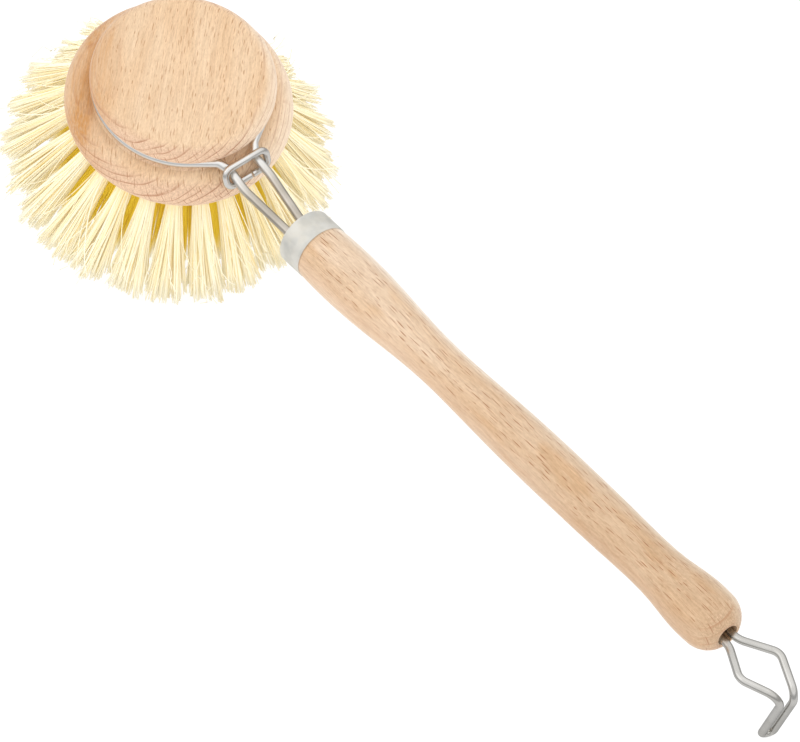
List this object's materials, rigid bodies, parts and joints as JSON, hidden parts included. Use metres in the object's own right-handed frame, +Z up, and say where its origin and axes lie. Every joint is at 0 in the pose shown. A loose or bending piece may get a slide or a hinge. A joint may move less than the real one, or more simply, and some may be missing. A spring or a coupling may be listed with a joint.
{
  "type": "dish brush",
  "caption": "Round wooden dish brush: replaceable bristle head held in a sprung wire ring with a sliding lock link, turned wooden handle with a metal ferrule and a wire hanging hook.",
  "frame": {"origin": "centre of the footprint, on the surface that the brush lies on, bristles down", "axes": "+X along the brush from the head towards the hanging hook, +Z up out of the surface, the mirror plane of the brush is y = 0"},
  "size_m": [0.2398, 0.0732, 0.0533],
  "materials": {
    "beech_head": "bare turned beech, fine sanded",
    "beech_handle": "bare turned beech, fine sanded",
    "plant_fibre": "stiff cream plant fibre, trimmed tips",
    "spring_wire": "satin drawn wire",
    "link_wire": "bright drawn wire",
    "hook_wire": "satin drawn wire",
    "ferrule_sheet": "matt tinned sheet",
    "anchor_wire": "flat drawn wire"
  },
  "bodies": {
    "grip": {"handle": "beech_handle", "ferrule": "ferrule_sheet", "wire_holder": "spring_wire"},
    "link": {"lock_link": "link_wire"},
    "head": {"head_cap": "beech_head", "head_block": "beech_head", "tufts_outer": "plant_fibre", "tufts_second": "plant_fibre", "tufts_third": "plant_fibre", "tufts_inner": "plant_fibre", "anchors_outer": "anchor_wire", "anchors_second": "anchor_wire", "anchors_third": "anchor_wire", "anchors_inner": "anchor_wire"},
    "hook": {"hanging_hook": "hook_wire"}
  },
  "joints": [
    {"name": "link_slide", "type": "slide", "parent": "grip", "child": "link", "axis": [0.944, 0, -0.33], "range_m": [0, 0.012]},
    {"name": "head_turn", "type": "hinge", "parent": "grip", "child": "head", "pos_m": [-0.07573, 0, 0.04163], "axis": [0.33, 0, 0.944], "continuous": true},
    {"name": "hook_swivel", "type": "hinge", "parent": "grip", "child": "hook", "pos_m": [0.09575, 0, 0.0216], "axis": [0.999, 0, -0.045], "continuous": true}
  ]
}
